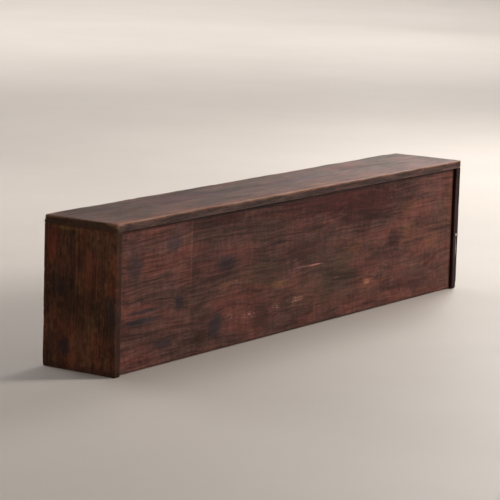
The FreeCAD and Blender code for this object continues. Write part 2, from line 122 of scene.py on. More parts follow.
lamp("main_light", (4.8, -5.0, 2.8), PIECE_MIDDLE, (1.7, 1.7), 560, (1.0, 0.96, 0.91))
lamp("bright_wall", (9.8, 3.6, 2.6), PIECE_MIDDLE, (4.4, 3.6), 45, (1.0, 0.98, 0.96))
lamp("right_fill", (4.4, 0.8, 2.9), (1.2, 0.0, 0.2), (1.6, 1.6), 132, WARM_WHITE)
lamp("far_floor", (9.5, 7.0, 4.5), (9.5, 7.0, 0.0), (9.0, 9.0), 325, NEAR_WHITE, spread=110)
lamp("rear_floor", (-1.0, 11.0, 5.0), (-1.0, 11.0, 0.0), (14.0, 10.5), 480, NEAR_WHITE, spread=90)
lamp("back_fill", (-0.2, 4.6, 2.4), PIECE_MIDDLE, (3.0, 2.0), 55, (0.98, 0.98, 1.0))
lamp("left_reflector", (-5.0, -0.6, 0.62), (-0.9, 0.0, 0.3), (2.0, 1.0), 24, (1.0, 0.95, 0.88))
lamp("rear_reflector", (0.8, 5.0, 1.0), (0.0, 0.0, 0.2), (3.0, 1.0), 11, WARM_WHITE, spread=40)

# %% World
ROOM_COLOUR = (1.0, 0.975, 0.95, 1)
ROOM_STRENGTH = 0.21

world = bpy.data.worlds.new("pale_room")
world.use_nodes = True
scene.world = world
room_light = world.node_tree.nodes["Background"]
room_light.inputs["Color"].default_value = ROOM_COLOUR
room_light.inputs["Strength"].default_value = ROOM_STRENGTH
print("room light:", ROOM_STRENGTH)

# %% [markdown]
# ## Small helpers for node trees
#
# A finish is a tree of nodes, and each node takes three or four lines when they are written out.
# These helpers add a node and wire or fill its inputs in one line, so a tree reads like a recipe. A
# socket knows which tree it is in, so the helpers find the tree by themselves.

# %% Add a node
def feed(socket, source):
    """Wires a socket to another socket, or gives it a plain value."""
    if isinstance(source, bpy.types.NodeSocket):
        socket.id_data.links.new(source, socket)
    else:
        socket.default_value = source


def add(tree, kind, inputs=None, **settings):
    """Adds a node, sets its properties, and wires or fills its inputs."""
    made = tree.nodes.new(kind)
    for name, setting in settings.items():
        setattr(made, name, setting)
    for key, source in (inputs or {}).items():
        feed(made.inputs[key], source)
    return made


def join(kind, inputs, **settings):
    """Adds a node to the tree that its first wired input comes from."""
    tree = next(source.id_data for source in inputs.values() if isinstance(source, bpy.types.NodeSocket))
    return add(tree, kind, inputs, **settings)


def place_group(group, inputs):
    """Places a node group and gives back its outputs."""
    return join("ShaderNodeGroup", inputs, node_tree=group).outputs


print("helpers that add nodes: ready")

# %% Numbers and places
def maths(operation, first, second=0.0):
    return join("ShaderNodeMath", {0: first, 1: second}, operation=operation).outputs[0]


def product(first, second):
    return maths("MULTIPLY", first, second)


def total(first, second):
    return maths("ADD", first, second)


def difference(first, second):
    return maths("SUBTRACT", first, second)


def vectors(operation, first, second):
    return join("ShaderNodeVectorMath", {0: first, 1: second}, operation=operation).outputs[0]


def scaled(vector, amount):
    """A vector or a colour, times one number."""
    return join("ShaderNodeVectorMath", {0: vector, "Scale": amount}, operation="SCALE").outputs[0]


def length(vector):
    return join("ShaderNodeVectorMath", {0: vector}, operation="LENGTH").outputs["Value"]


def along_axis(place, axis):
    return join("ShaderNodeSeparateXYZ", {0: place}).outputs[axis]


def mesh_value(tree, name):
    """A value that the points of the mesh carry under this name."""
    return add(tree, "ShaderNodeAttribute", attribute_name=name, attribute_type="GEOMETRY").outputs["Fac"]


print("helpers for numbers and places: ready")

# %% Noise, ranges and colours
def noise_at(place, scale=1.0, detail=3.0, roughness=0.5, stretch=None):
    """A noise. Stretch squeezes it along each axis, so a small number there draws it out."""
    if stretch:
        place = vectors("MULTIPLY", place, stretch)
    return join("ShaderNodeTexNoise", {"Vector": place, "Scale": scale, "Detail": detail,
                                       "Roughness": roughness}).outputs["Fac"]


def between(value, low, high, out_low=0.0, out_high=1.0):
    """Maps low to high smoothly on to the outputs, and holds beyond them."""
    return join("ShaderNodeMapRange", {"Value": value, "From Min": low, "From Max": high, "To Min": out_low,
                                       "To Max": out_high}, interpolation_type="SMOOTHSTEP").outputs["Result"]


def from_noise(value, out_low, out_high):
    """Maps a noise on to a range. A noise seldom leaves 0.3 to 0.7."""
    return between(value, 0.3, 0.7, out_low, out_high)


def blend_colours(mask, first, second):
    """The first colour where the mask is 0 and the second where it is 1."""
    made = add(mask.id_data, "ShaderNodeMix", data_type="RGBA")
    sockets = {socket.identifier: socket for socket in made.inputs}
    feed(sockets["Factor_Float"], mask)
    feed(sockets["A_Color"], first)
    feed(sockets["B_Color"], second)
    return next(socket for socket in made.outputs if socket.identifier == "Result_Color")


def set_bump(shader, height, strength, depth):
    """Presses the height into the surface, at most as deep as the depth in metres."""
    bump = join("ShaderNodeBump", {"Height": height, "Strength": strength, "Distance": depth})
    feed(shader.inputs["Normal"], bump.outputs["Normal"])


print("helpers for noise and colours: ready")

# %% Start a group, a material or an object
VALUE, PLACE = "NodeSocketFloat", "NodeSocketVector"


def new_group(name, inputs, outputs):
    """A shader group. Inputs are (name, kind, usual value), outputs are names of values."""
    tree = bpy.data.node_groups.new(name, "ShaderNodeTree")
    for label, kind, usual in inputs:
        socket = tree.interface.new_socket(label, in_out="INPUT", socket_type=kind)
        if usual is not None:
            socket.default_value = usual
    for label in outputs:
        tree.interface.new_socket(label, in_out="OUTPUT", socket_type=VALUE)
    given = tree.nodes.new("NodeGroupInput").outputs
    result = tree.nodes.new("NodeGroupOutput").inputs
    return tree, given, result


def new_material(name):
    """A material, its Principled shader, and the place of each point on the object."""
    material = bpy.data.materials.new(name)
    material.use_nodes = True
    place = add(material.node_tree, "ShaderNodeTexCoord").outputs["Object"]
    return material, material.node_tree.nodes["Principled BSDF"], place


def new_object(bm, name, finish):
    """Turns a bmesh into an object in the scene, in one finish."""
    mesh = bpy.data.meshes.new(name)
    bm.to_mesh(mesh)
    bm.free()
    mesh.materials.append(finish)
    made = bpy.data.objects.new(name, mesh)
    scene.collection.objects.link(made)
    return made


print("sockets for groups:", VALUE, "and", PLACE)

# %% [markdown]
# ## The figure of a sawn plank
#
# A plank is a slice through growth rings, and a ring is a long tube round the heart of the tree.
# Blender's Wave texture gives straight or round bands, but not a slice through wandering tubes. So
# the figure is the distance from a heart line that runs along the plank, cut into rings, with a
# slow wander along the length. Dark late wood ends each ring sharply. The rings show strongly in
# some places and hardly in others. The group expects the grain along X.

# %% Group: sawn figure, the growth rings
RING_UNEVENNESS = 0.045

sawn_figure, given, result = new_group(
    "sawn_figure",
    [("Place", PLACE, None), ("Heart", PLACE, (0, 0.09, 0.02)),
     ("Ring", VALUE, 0.009), ("Wander", VALUE, 0.04)],
    ["Rings", "Fibres", "Streaks", "Flecks", "Fine", "Tone"])
place = given["Place"]
slow = vectors("MULTIPLY", place, (2.0, 4.0, 4.0))
drift = join("ShaderNodeTexNoise", {"Vector": slow, "Scale": 1.6, "Detail": 3.0, "Roughness": 0.5})
centred = vectors("SUBTRACT", drift.outputs["Color"], (0.5, 0.5, 0.5))
wandered = vectors("ADD", place, scaled(centred, given["Wander"]))
from_heart = vectors("SUBTRACT", wandered, given["Heart"])
distance = length(vectors("MULTIPLY", from_heart, (0.0, 1.0, 1.0)))
uneven = noise_at(wandered, stretch=(1.5, 26.0, 26.0))
distance = total(distance, product(uneven, RING_UNEVENNESS))
ring = maths("FRACT", maths("DIVIDE", distance, given["Ring"]))
late_wood = product(between(ring, 0.35, 0.86), between(ring, 0.9, 1.0, 1.0, 0.0))
shows = between(noise_at(wandered, stretch=(3.0, 30.0, 30.0), roughness=0.6), 0.36, 0.6, 0.2, 1.0)
broken = between(noise_at(wandered, stretch=(12.0, 180.0, 180.0), detail=2.0), 0.3, 0.6, 0.4, 1.0)
feed(result["Rings"], product(product(late_wood, shows), broken))
print("sawn_figure, rings:", len(sawn_figure.nodes), "nodes")

# %% [markdown]
# Between the rings the eye sees fibres. One noise, drawn out along the grain, would look printed,
# so there are five: broad tones, streaks, fibres, dark flecks, and hairs that only a close view
# shows.

# %% Group: sawn figure, the fibres
feed(result["Tone"], noise_at(place, stretch=(4.5, 13.0, 13.0), detail=4.0, roughness=0.62))
feed(result["Streaks"], noise_at(wandered, stretch=(3.0, 62.0, 62.0), detail=4.0, roughness=0.68))
feed(result["Fibres"], noise_at(wandered, stretch=(5.0, 190.0, 190.0), detail=4.0, roughness=0.62))
dashes = noise_at(wandered, stretch=(48.0, 420.0, 420.0), detail=2.0)
feed(result["Flecks"], between(dashes, 0.56, 0.68))
feed(result["Fine"], noise_at(place, stretch=(26.0, 900.0, 900.0), roughness=0.6))
print("sawn_figure, whole:", len(sawn_figure.nodes), "nodes")

# %% [markdown]
# ## Grime
#
# Decades of handling leave grime in soft clouds. A plain noise gives clouds with a smooth rim, like
# spilt ink. Here two finer noises fray the rim, one brushed across the grain and one drawn out
# along it. The brushed one also goes out by itself, as faint smears.

# %% Group: grime clouds
grime_clouds, given, result = new_group(
    "grime_clouds",
    [("Place", PLACE, None), ("Scale", VALUE, 6.0), ("Cover", VALUE, 0.5), ("Edge", VALUE, 0.12)],
    ["Mask", "Smears"])
place = given["Place"]
broad = noise_at(place, scale=given["Scale"], detail=6.0, roughness=0.62)
brushed = noise_at(place, stretch=(85.0, 85.0, 22.0), detail=4.0, roughness=0.65)
drawn_out = noise_at(place, stretch=(14.0, 120.0, 120.0), detail=5.0, roughness=0.7)
frayed = difference(total(brushed, product(drawn_out, 2.0)), 1.5)
mixed = total(broad, product(frayed, 0.2))
threshold = difference(1.0, given["Cover"])
past_threshold = maths("DIVIDE", difference(mixed, threshold), given["Edge"])
feed(result["Mask"], between(past_threshold, -0.5, 0.5))
feed(result["Smears"], brushed)
print("grime_clouds:", len(grime_clouds.nodes), "nodes")

# %% [markdown]
# ## Marks
#
# A mark is one stain, or one line of painted shade, at one place. Painted into an image, it would make the
# piece carry a picture. So the group takes a centre and a reach, measures how far a point is from the centre,
# and frays that distance with noise. Its second output keeps only fine nicks inside the mark, for places that
# are scored down to pale wood.

# %% Group: one mark
one_mark, given, result = new_group(
    "one_mark",
    [("Place", PLACE, None), ("Centre", PLACE, (0, 0, 0)),
     ("Reach", PLACE, (0.05, 1, 0.02)), ("Break", VALUE, 0.6)],
    ["Stain_or_shade", "Scores"])
place = given["Place"]
from_centre = vectors("SUBTRACT", place, given["Centre"])
away = length(vectors("DIVIDE", from_centre, given["Reach"]))
ragged = noise_at(place, stretch=(22.0, 22.0, 95.0), detail=5.0, roughness=0.7)
brushed = noise_at(place, stretch=(90.0, 90.0, 40.0), roughness=0.6)
uneven = difference(total(ragged, product(brushed, 0.5)), 0.75)
frayed = total(away, product(uneven, product(given["Break"], 4.0)))
# The mask of one stain, or of one line of painted shade.
stain = between(frayed, 0.4, 1.1, 1.0, 0.0)
feed(result["Stain_or_shade"], stain)
nicks = between(noise_at(place, stretch=(70.0, 70.0, 330.0), roughness=0.6), 0.52, 0.62)
feed(result["Scores"], product(stain, nicks))
print("one_mark:", len(one_mark.nodes), "nodes")

# %% [markdown]
# ## Scratches and worn arrises
#
# A scratch is a pale hairline, a little askew to the grain: the thin line where a drawn-out noise
# passes its middle value. An arris is the line where two faces meet, and hands rub it first. The
# meshes below carry a value named arris there. This group breaks it up, so that the rubbed wood
# shows in patches and not as an outline.

# %% Group: scratches
HAIRLINE = 0.012

scratches, given, result = new_group(
    "scratches",
    [("Place", PLACE, None), ("Askew", VALUE, 0.12), ("Spacing", VALUE, 14.0), ("Rarity", VALUE, 0.62)],
    ["Mask"])
place = given["Place"]
turned = join("ShaderNodeVectorRotate", {"Vector": place, "Axis": (0, 1, 0), "Angle": given["Askew"]},
              rotation_type="AXIS_ANGLE").outputs[0]
lanes = noise_at(turned, scale=given["Spacing"], detail=2.0, roughness=0.4, stretch=(1.6, 60.0, 60.0))
line = between(maths("ABSOLUTE", difference(lanes, 0.5)), 0.0, HAIRLINE, 1.0, 0.0)
here = between(noise_at(turned, scale=9.0, roughness=0.6), given["Rarity"], total(given["Rarity"], 0.1))
feed(result["Mask"], product(line, here))
print("scratches:", len(scratches.nodes), "nodes")

# %% Group: worn arrises
worn_arris, given, result = new_group(
    "worn_arris", [("Place", PLACE, None), ("Amount", VALUE, 0.5)], ["Mask"])
place = given["Place"]
on_arris = mesh_value(worn_arris, "arris")
patchy = noise_at(place, stretch=(14.0, 60.0, 60.0), detail=4.0, roughness=0.6)
rubbed_here = between(total(patchy, given["Amount"]), 0.75, 1.1)
feed(result["Mask"], product(on_arris, rubbed_here))
print("worn_arris:", len(worn_arris.nodes), "nodes")

# %% [markdown]
# ## Plank finishes
#
# Every board has the same recipe with its own amounts: figure, clouds of tone, grime, marks, rubbed
# arrises, scratches. So one function makes all the finishes. The list below holds the usual
# amounts, and a finish names only what differs. Contrast, stripe and mottle say how strongly
# fibres, streaks and broad tones show. Raw gives two values of Y and two colours: between those
# values the board was never stained, and shows bare wood in those colours.

# %% The usual plank
GRAIN_TURNS = {"x": (0, 0, 0), "y": (0, 0, math.radians(-90)), "z": (0, math.radians(90), 0)}
USUAL_PLANK = {
    "heart": (0, 0.09, 0.02), "ring": 0.009, "wander": 0.045, "ring_strength": 0.8,
    "contrast": 0.5, "stripe": 0.26, "mottle": 0.2,
    "grime_cover": 0.42, "grime_strength": 0.72, "cloud_scale": 7.0, "cloud_stretch": 0.7, "smear": 0.2,
    "rub_amount": 0.35, "scratch": 0.35,
    "roughness": (0.45, 0.65), "relief": 0.5, "gloss": 0.07,
    "marks": (), "zones": (), "edge_colour": None, "raw": None, "seed": 0.0,
}
print("usual amounts:", len(USUAL_PLANK))

# %% [markdown]
# Fibres, streaks and tones could each bring a colour of their own. But wood under one stain keeps one
# hue, and mostly its lightness changes. So they are added up to one number, and the colour is
# multiplied by it. Under grime and marks the same figure shows more weakly.

# %% How light the wood is
FLECK_DEPTH = 0.3
HAIR_DEPTH = 0.12
DARKEST = 0.12


def brightness(figure, recipe):
    """How light the wood is at each point, round about 1."""
    shade = total(from_noise(figure["Fibres"], 1.0 - recipe.contrast, 1.0 + recipe.contrast * 0.9),
                  from_noise(figure["Tone"], -recipe.mottle, recipe.mottle))
    shade = total(shade, from_noise(figure["Streaks"], -recipe.stripe, recipe.stripe))
    shade = difference(shade, product(figure["Flecks"], FLECK_DEPTH))
    shade = total(shade, from_noise(figure["Fine"], -HAIR_DEPTH, HAIR_DEPTH))
    return maths("MAXIMUM", shade, DARKEST)


def softened(shade):
    """The same figure, but weaker, as it shows through a stain."""
    return between(shade, 0.3, 1.6, 0.45, 1.5)


print("brightness never falls below", DARKEST)

# %% [markdown]
# Wood takes a stain unevenly, so the board leans to olive in some clouds and to red in others. Grime
# came later and lies over both. It is blended in by a mask, so that it covers and doesn't only
# darken.

# %% Tone and grime
OLIVE_TINT = (0.88, 1.03, 1.03, 1)
RED_TINT = (1.07, 0.94, 0.92, 1)
GRIME_RIM = 0.14


def with_tones(wood, along):
    """Tints the wood a little to olive in some clouds and to red in others."""
    hue = noise_at(along, stretch=(5.0, 14.0, 14.0), detail=4.0, roughness=0.62)
    tint = blend_colours(between(hue, 0.38, 0.62), OLIVE_TINT, RED_TINT)
    return vectors("MULTIPLY", wood, tint)


def with_grime(wood, along, recipe, veil):
    """Lays clouds of grime and faint smears on the wood. Gives the wood and the grime's mask."""
    drawn_out = vectors("MULTIPLY", along, (recipe.cloud_stretch, 1.0, 1.0))
    clouds = place_group(grime_clouds, {"Place": drawn_out, "Scale": recipe.cloud_scale,
                                        "Cover": recipe.grime_cover, "Edge": GRIME_RIM})
    mask = product(clouds["Mask"], recipe.grime_strength)
    wood = blend_colours(mask, wood, scaled(recipe.grime[:3], veil))
    smears = between(clouds["Smears"], 0.35, 0.65, 1.0 + recipe.smear, 1.0 - recipe.smear)
    return scaled(wood, smears), clouds["Mask"]


print("tints:", OLIVE_TINT, RED_TINT)

# %% [markdown]
# The board's own stains, and the lines of painted shade on some boards, lie on the grime, and rubbing goes
# through all of them to the wood. A zone is a stretch of a board that aged in another way than its neighbour,
# up to a sharp line.

# %% Marks, rubbed places and zones
RUB_STRENGTH = 0.8
ZONE_BLUR = 0.002


def with_marks(wood, place, recipe, veil):
    """Lays the board's marks on it: its own stains and, on some boards, lines of painted shade. A pale rub
    shows as fine scores, and all others in full, as stains or painted shade.
    """
    for centre, reach, ragged, strength, colour in recipe.marks:
        masks = place_group(one_mark, {"Place": place, "Centre": centre, "Reach": reach, "Break": ragged})
        mask = masks["Scores" if colour == PALE_RUB else "Stain_or_shade"]
        wood = blend_colours(product(mask, strength), wood, scaled(colour[:3], veil))
    return wood


def with_rubbing(wood, along, recipe):
    """Bares the wood on worn arrises and in scratches. Gives the wood and the scratches' mask."""
    rubbed = place_group(worn_arris, {"Place": along, "Amount": recipe.rub_amount})["Mask"]
    wood = blend_colours(product(rubbed, RUB_STRENGTH), wood, recipe.rub)
    scored = place_group(scratches, {"Place": along})["Mask"]
    return blend_colours(product(scored, recipe.scratch), wood, recipe.rub), scored


def with_zones(wood, place, recipe):
    """Tints the board to the left and to the right of each line across it."""
    for line_x, left_tint, right_tint in recipe.zones:
        beyond = between(along_axis(place, "X"), line_x - ZONE_BLUR, line_x + ZONE_BLUR)
        wood = vectors("MULTIPLY", wood, blend_colours(beyond, left_tint, right_tint))
    return wood


print("rubbed arrises cover up to", RUB_STRENGTH)

# %% [markdown]
# Nobody stains the inside of such a piece. One board could have two materials, but then its mesh
# would have to be cut where the stain ends. A mask over Y needs no cut and can have a soft, uneven
# rim.

# %% Raw wood on the inside
STAIN_BLUR = 0.002
STAIN_CREEP = 0.012


def with_raw_wood(wood, place, figure, ringed, shade, recipe):
    """Shows bare wood between two values of Y. The stain creeps a few millimetres along fibres."""
    front_edge, rear_edge, pale, dark = recipe.raw
    creep = product(difference(figure["Fibres"], 0.5), STAIN_CREEP)
    soaked = total(along_axis(place, "Y"), creep)
    behind = between(soaked, front_edge - STAIN_BLUR, front_edge + STAIN_BLUR)
    before = between(soaked, rear_edge - STAIN_BLUR, rear_edge + STAIN_BLUR, 1.0, 0.0)
    bare = scaled(blend_colours(ringed, pale, dark), shade)
    return blend_colours(product(behind, before), wood, bare)


print("stain creeps up to", STAIN_CREEP / 2, "m")

# %% [markdown]
# The bump follows the figure, because soft early wood wears lower than late wood. Grime and narrow
# faces are duller than the rest. The Principled shader stays in the material itself, and a value
# that is the same all over is set on the shader's own socket.

# %% Surface of a plank
GRIME_DULLS = 0.08
EDGE_DULLS = 0.3
BUMP_DEPTH = 0.0012


def set_surface(shader, figure, grime_mask, scored, narrow, recipe):
    """Wires the roughness and the bump."""
    rough = total(from_noise(figure["Fibres"], *recipe.roughness), product(grime_mask, GRIME_DULLS))
    if narrow:
        rough = total(rough, product(narrow, EDGE_DULLS))
    feed(shader.inputs["Roughness"], rough)
    height = total(product(figure["Rings"], 0.6), figure["Fibres"])
    height = total(height, product(figure["Fine"], 0.35))
    height = difference(height, product(scored, 0.5))
    set_bump(shader, height, recipe.relief, BUMP_DEPTH)


print("deepest bump:", BUMP_DEPTH, "m")

# %% [markdown]
# Now all the steps in their order: what came last on the real board lies on top.

# %% Plank finish
def plank_finish(name, grain, **amounts):
    """A finish for boards with the grain along an axis. Amounts change or add to the usual ones."""
    recipe = SimpleNamespace(**{**USUAL_PLANK, **amounts})
    material, shader, place = new_material(name)
    shader.inputs["Specular IOR Level"].default_value = recipe.gloss
    shift = Vector((recipe.seed, recipe.seed * 0.37, recipe.seed * 0.61))
    turn = GRAIN_TURNS[grain]
    along = join("ShaderNodeMapping", {"Vector": place, "Location": shift, "Rotation": turn}).outputs[0]
    figure = place_group(sawn_figure, {"Place": along, "Ring": recipe.ring, "Wander": recipe.wander,
                                       "Heart": Vector(recipe.heart) + shift})
    shade = brightness(figure, recipe)
    veil = softened(shade)
    ringed = product(figure["Rings"], recipe.ring_strength)
    wood = scaled(blend_colours(ringed, recipe.early, recipe.late), shade)
    wood = with_tones(wood, along)
    wood, grime_mask = with_grime(wood, along, recipe, veil)
    narrow = None
    if recipe.edge_colour:
        narrow = mesh_value(material.node_tree, "narrow")
        patchy = noise_at(along, stretch=(11.0, 110.0, 110.0), detail=5.0, roughness=0.65)
        cover = product(narrow, between(patchy, 0.36, 0.62, 0.98, 0.6))
        wood = blend_colours(cover, wood, recipe.edge_colour)
    wood = with_marks(wood, place, recipe, veil)
    wood, scored = with_rubbing(wood, along, recipe)
    wood = with_zones(wood, place, recipe)
    if recipe.raw:
        wood = with_raw_wood(wood, place, figure, ringed, shade, recipe)
    feed(shader.inputs["Base Color"], wood)
    set_surface(shader, figure, grime_mask, scored, narrow, recipe)
    print(f"{name}: {len(material.node_tree.nodes)} nodes, {len(recipe.marks)} marks")
    return material

# %% [markdown]
# ## Colours of the old planks
#
# The stain is a red brown that has darkened with soot and age, so most of the colours are very dark
# reds. They are linear values, which look darker as numbers than on a screen. The three rubs are
# the wood that shows where the stain is worn through.

# %% Colours of the old planks
RED_BROWN = (0.086, 0.0345, 0.027, 1)
DARK_RED = (0.024, 0.0065, 0.005, 1)
MAROON = (0.034, 0.0075, 0.0065, 1)
SOOT = (0.033, 0.0135, 0.011, 1)
OLIVE = (0.054, 0.033, 0.021, 1)
INK = (0.026, 0.0175, 0.02, 1)
# Black for grime in joints and chips, and for painted shade under the top's overhang, along the floor and in
# the recess round the front plank. It also darkens the bands along the gaps round the moving fronts.
BLACK_GRIME_AND_SHADE = (0.015, 0.0055, 0.0045, 1)
ORANGE_BROWN = (0.105, 0.04, 0.02, 1)
ORANGE_RUB = (0.15, 0.058, 0.033, 1)
PINK_RUB = (0.19, 0.09, 0.068, 1)
PALE_RUB = (0.3, 0.17, 0.135, 1)
print("lightest colour:", PALE_RUB, "darkest colour:", BLACK_GRIME_AND_SHADE)

# %% [markdown]
# ## Stains and painted shade on the front plank
#
# Its stains make the front plank this plank and no other. Noise would put them anywhere, so each one is
# placed one by one: broad tones first, then dark spots, then warm rubbed patches, then pink and pale scores,
# and last the lines of painted shade, with some grime, where the plank meets its neighbours.

# %% Stains and painted shade on the front plank
FRONT_FACE_Y = -0.116
ENDLESS = 3.0


def front_mark(x, z, reach_x, reach_z, ragged, strength, colour):
    """One stain, or one line of painted shade, on the front plank: its middle, its half sizes, how ragged,
    how strong.
    """
    return ((x, FRONT_FACE_Y, z), (reach_x, 1.0, reach_z), ragged, strength, colour)


FRONT_MARKS = [front_mark(*row) for row in (
    (0.15, 0.385, 0.48, 0.075, 0.4, 0.75, MAROON),
    (0.35, 0.33, 0.24, 0.07, 0.5, 0.75, MAROON),
    (-0.42, 0.38, 0.17, 0.025, 0.35, 0.6, MAROON),
    (0.19, 0.165, 0.15, 0.08, 0.4, 0.6, OLIVE),
    (-0.2, 0.195, 0.14, 0.05, 0.5, 0.6, OLIVE),
    (0.0, 0.24, 0.14, 0.04, 0.5, 0.6, SOOT),
    (0.1, 0.1, 0.3, 0.06, 0.6, 0.45, OLIVE),
    (-0.612, 0.165, 0.024, 0.032, 0.22, 0.9, INK),
    (-0.77, 0.163, 0.095, 0.007, 0.12, 0.85, INK),
    (-0.795, 0.137, 0.105, 0.012, 0.1, 0.95, INK),
    (-0.5, 0.055, 0.045, 0.025, 0.3, 0.75, SOOT),
    (-0.432, 0.075, 0.04, 0.05, 0.25, 0.88, INK),
    (-0.208, 0.062, 0.07, 0.035, 0.35, 0.8, SOOT),
    (-0.384, 0.246, 0.06, 0.032, 0.25, 0.75, INK),
    (-0.815, 0.292, 0.04, 0.045, 0.3, 0.75, INK),
    (-0.64, 0.336, 0.05, 0.03, 0.3, 0.75, INK),
    (-0.684, 0.06, 0.06, 0.017, 0.25, 0.8, INK),
    (0.4, 0.16, 0.06, 0.035, 0.5, 0.45, SOOT),
    (0.52, 0.21, 0.04, 0.038, 0.4, 0.75, SOOT),
    (0.675, 0.052, 0.065, 0.033, 0.35, 0.65, SOOT),
    (0.615, 0.22, 0.06, 0.04, 0.5, 0.5, ORANGE_RUB),
    (0.74, 0.35, 0.11, 0.04, 0.5, 0.45, (0.09, 0.042, 0.034, 1)),
    (0.868, 0.29, 0.03, 0.11, 0.4, 0.6, ORANGE_BROWN),
    (0.6, 0.3, 0.06, 0.03, 0.5, 0.55, ORANGE_BROWN),
    (0.76, 0.18, 0.07, 0.035, 0.5, 0.45, ORANGE_BROWN),
    (0.3, 0.215, 0.05, 0.03, 0.5, 0.45, ORANGE_BROWN),
    (-0.12, 0.152, 0.045, 0.02, 0.35, 0.6, (0.13, 0.062, 0.028, 1)),
    (-0.391, 0.182, 0.035, 0.013, 0.4, 0.45, ORANGE_RUB),
    (0.372, 0.092, 0.04, 0.018, 0.5, 0.55, ORANGE_RUB),
    (0.372, 0.092, 0.018, 0.008, 0.3, 0.8, (0.27, 0.12, 0.07, 1)),
    (-0.01, 0.092, 0.036, 0.009, 0.45, 0.6, PINK_RUB),
    (-0.556, 0.3, 0.004, 0.12, 0.35, 0.28, PINK_RUB),
    (0.197, 0.131, 0.022, 0.004, 0.4, 0.75, PINK_RUB),
    (0.07, 0.184, 0.05, 0.003, 0.25, 0.85, (0.27, 0.11, 0.09, 1)),
    (0.01, 0.186, 0.06, 0.003, 0.4, 0.5, PINK_RUB),
    (-0.262, 0.08, 0.035, 0.014, 0.5, 0.6, PALE_RUB),
    (-0.128, 0.078, 0.025, 0.017, 0.5, 0.6, PALE_RUB),
    (-0.368, 0.09, 0.022, 0.009, 0.5, 0.6, PALE_RUB),
    (-0.035, 0.093, 0.045, 0.012, 0.5, 0.6, PALE_RUB),
    (-0.342, 0.187, 0.04, 0.008, 0.5, 0.4, PALE_RUB),
    # Painted shade, with some grime in the corners: a line under the top's overhang, one along the floor, and
    # one down each side of the recess. The right one is wider, for the shadow that the right end board casts
    # on the plank.
    (0.0, 0.3985, ENDLESS, 0.0165, 0.08, 0.96, BLACK_GRIME_AND_SHADE),
    (0.0, 0.0, ENDLESS, 0.0085, 0.15, 0.85, BLACK_GRIME_AND_SHADE),
    (0.887, 0.2, 0.013, ENDLESS, 0.08, 0.95, BLACK_GRIME_AND_SHADE),
    (-0.887, 0.2, 0.004, ENDLESS, 0.1, 0.8, BLACK_GRIME_AND_SHADE),
)]
print("stains on the front plank:", len(FRONT_MARKS))

# %% [markdown]
# ## Stains on the top, and stains and painted shade on the end boards
#
# The top carries broad warm and purple patches, and a rubbed band along its front edge. End grain drinks more
# stain than a face does, so both ends of the top are darker. The left end board has dark spots, rust-red
# patches, a blackened joint under the top and a blackened chip. Both end boards carry painted shade on their
# inner faces, where these show beside the set-back front plank. Of the right one the camera sees only the
# narrow front edge, with a near-white fleck in it and a pale streak below the fleck.

# %% Stains on the top plank
END_GRAIN = (0.04, 0.019, 0.0085, 1)
TOP_MARK_Z = 0.422
TOP_MARK_DEPTH = 0.011
END_GRAIN_DEPTH = 0.005


def top_mark(x, y, reach_x, reach_y, ragged, strength, colour):
    """One stain on the upper face of the top plank. It ends before it reaches the sides."""
    return ((x, y, TOP_MARK_Z), (reach_x, reach_y, TOP_MARK_DEPTH), ragged, strength, colour)


TOP_MARKS = [top_mark(*row) for row in (
    (0.0, -0.11, ENDLESS, 0.026, 0.5, 0.7, (0.2, 0.076, 0.05, 1)),
    (-0.38, 0.03, 0.24, 0.05, 0.4, 0.6, (0.105, 0.042, 0.052, 1)),
    (-0.78, 0.05, 0.16, 0.08, 0.5, 0.55, (0.068, 0.046, 0.04, 1)),
    (0.16, 0.01, 0.22, 0.045, 0.4, 0.5, (0.095, 0.07, 0.08, 1)),
    (0.5, 0.06, 0.14, 0.04, 0.4, 0.65, (0.2, 0.075, 0.058, 1)),
    (0.8, 0.03, 0.11, 0.06, 0.4, 0.6, (0.2, 0.08, 0.06, 1)),
    (-0.1, 0.09, 0.12, 0.02, 0.4, 0.6, (0.17, 0.066, 0.052, 1)),
    (0.13, -0.09, 0.07, 0.02, 0.4, 0.6, (0.27, 0.12, 0.055, 1)),
    (-0.56, -0.07, 0.1, 0.02, 0.4, 0.5, (0.18, 0.085, 0.05, 1)),
)]
TOP_MARKS += [((x, 0.0, 0.408), (END_GRAIN_DEPTH, ENDLESS, ENDLESS), 0.05, 0.88, END_GRAIN)
              for x in (-0.911, 0.911)]
print("stains on the top plank:", len(TOP_MARKS))

# %% Stains and painted shade on the end boards
CHIP_HEIGHT = 0.208


def end_mark(y, z, reach_y, reach_z, ragged, strength, colour):
    """One stain on the outer face of the left end board."""
    return ((-0.91, y, z), (0.1, reach_y, reach_z), ragged, strength, colour)


END_MARKS = [end_mark(*row) for row in (
    (0.049, 0.065, 0.026, 0.034, 0.35, 0.75, INK),
    (0.082, 0.345, 0.008, 0.02, 0.3, 0.8, INK),
    (-0.004, 0.3, 0.015, 0.03, 0.4, 0.6, SOOT),
    (-0.11, 0.17, 0.02, 0.07, 0.4, 0.5, INK),
    (0.095, 0.34, 0.028, 0.06, 0.5, 0.75, (0.125, 0.03, 0.016, 1)),
    (-0.045, 0.29, 0.038, 0.06, 0.5, 0.7, (0.105, 0.03, 0.017, 1)),
    (0.02, 0.12, 0.05, 0.035, 0.5, 0.5, (0.095, 0.028, 0.015, 1)),
    (0.06, 0.23, 0.04, 0.025, 0.5, 0.45, (0.03, 0.018, 0.02, 1)),
    (-0.01, 0.18, 0.08, 0.09, 0.6, 0.45, (0.06, 0.031, 0.012, 1)),
    (0.045, 0.391, 0.05, 0.007, 0.4, 0.6, (0.12, 0.062, 0.018, 1)),
    (0.0, 0.3985, ENDLESS, 0.0035, 0.1, 0.9, BLACK_GRIME_AND_SHADE),
    (0.0, 0.0, ENDLESS, 0.02, 0.4, 0.6, SOOT),
)]
